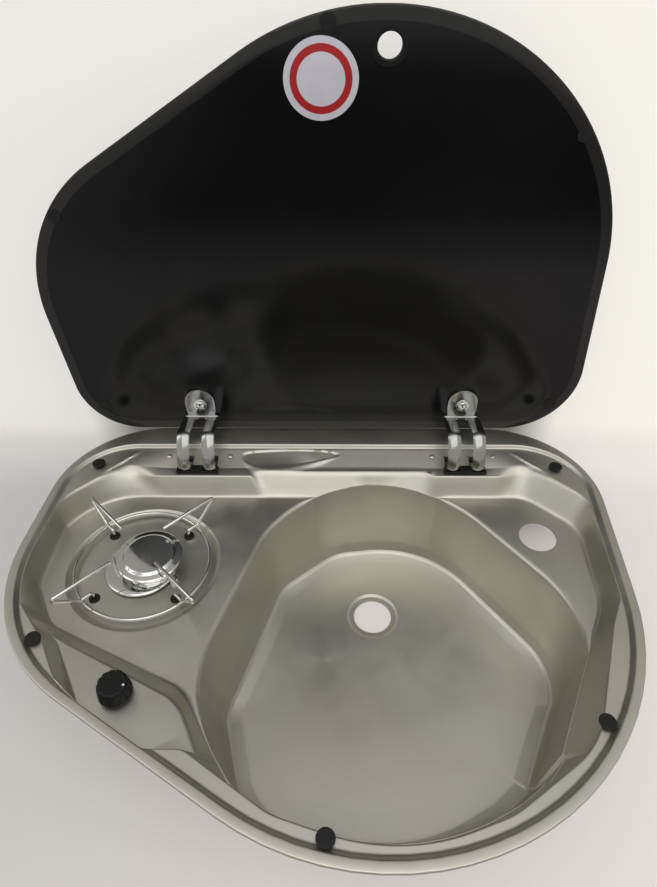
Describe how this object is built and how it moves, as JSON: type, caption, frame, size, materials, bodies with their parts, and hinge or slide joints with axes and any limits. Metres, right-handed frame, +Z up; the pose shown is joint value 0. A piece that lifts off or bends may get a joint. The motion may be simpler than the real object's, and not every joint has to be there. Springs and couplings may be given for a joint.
{
  "type": "built-in hob and sink unit with glass lid",
  "caption": "Compact built-in gas hob and sink in one pressed steel tray, with a smoked glass lid raised on two chrome hinges, a wire pan support and a black gas knob.",
  "frame": {"origin": "plan centre of the tray, on the worktop surface that the rim rests on", "axes": "+X to the right, +Y to the back where the lid is hinged, +Z up"},
  "size_m": [0.5983, 0.4687, 0.5546],
  "materials": {
    "steel": "satin brushed stainless sheet",
    "chrome": "polished",
    "zinc": "zinc plated",
    "spring_steel": "bright drawn wire",
    "aluminium": "cast",
    "brass": "turned",
    "copper": "drawn copper tube",
    "rubber": "matt black",
    "black_plastic": "matt black",
    "smoked_glass": "polished, nearly black",
    "label_film": "printed film"
  },
  "bodies": {
    "tray_body": {"tray": "steel", "rim_seal": "rubber", "fixing_lugs": "zinc", "fixing_screws": "zinc", "bumpers": "rubber", "hinge_brackets": "zinc", "hinge_pins": "zinc", "hinge_springs": "spring_steel", "bracket_rivets": "steel", "slot_trims": "black_plastic", "burner_base": "chrome", "burner_screws": "zinc", "burner_head": "chrome", "burner_cap": "chrome", "burner_cup": "aluminium", "burner_jet": "brass", "thermocouple": "zinc", "thermocouple_lead": "copper", "pan_support_ring": "chrome", "pan_support_legs": "chrome", "grommets": "rubber", "knob_spring": "spring_steel", "gas_tap": "aluminium", "tap_clamp_nut": "zinc", "burner_pipe": "copper", "inlet_pipe": "copper", "pipe_nuts": "brass"},
    "lid": {"lid_glass": "smoked_glass", "lid_pads": "rubber", "lid_grip_ring": "rubber", "lid_sticker": "label_film", "left_hinge_arm": "chrome", "right_hinge_arm": "chrome", "lid_gaskets": "rubber", "lid_screws": "chrome", "lid_nuts": "black_plastic"},
    "tap_rotor": {"tap_plug": "brass"},
    "knob_body": {"knob": "black_plastic", "tap_spindle": "brass"}
  },
  "joints": [
    {"name": "lid_hinge", "type": "hinge", "parent": "tray_body", "child": "lid", "pos_m": [0, 0.216, -0.009], "axis": [1, 0, 0], "range_deg": [0, 90]},
    {"name": "knob_turn", "type": "hinge", "parent": "tray_body", "child": "tap_rotor", "pos_m": [-0.171, -0.095, -0.033], "axis": [0, 0, 1], "range_deg": [0, 210]},
    {"name": "knob_press", "type": "slide", "parent": "tap_rotor", "child": "knob_body", "axis": [0, 0, -1], "range_m": [0, 0.004], "stiffness_N_per_m": 2000, "deforming": ["knob_spring"]}
  ]
}
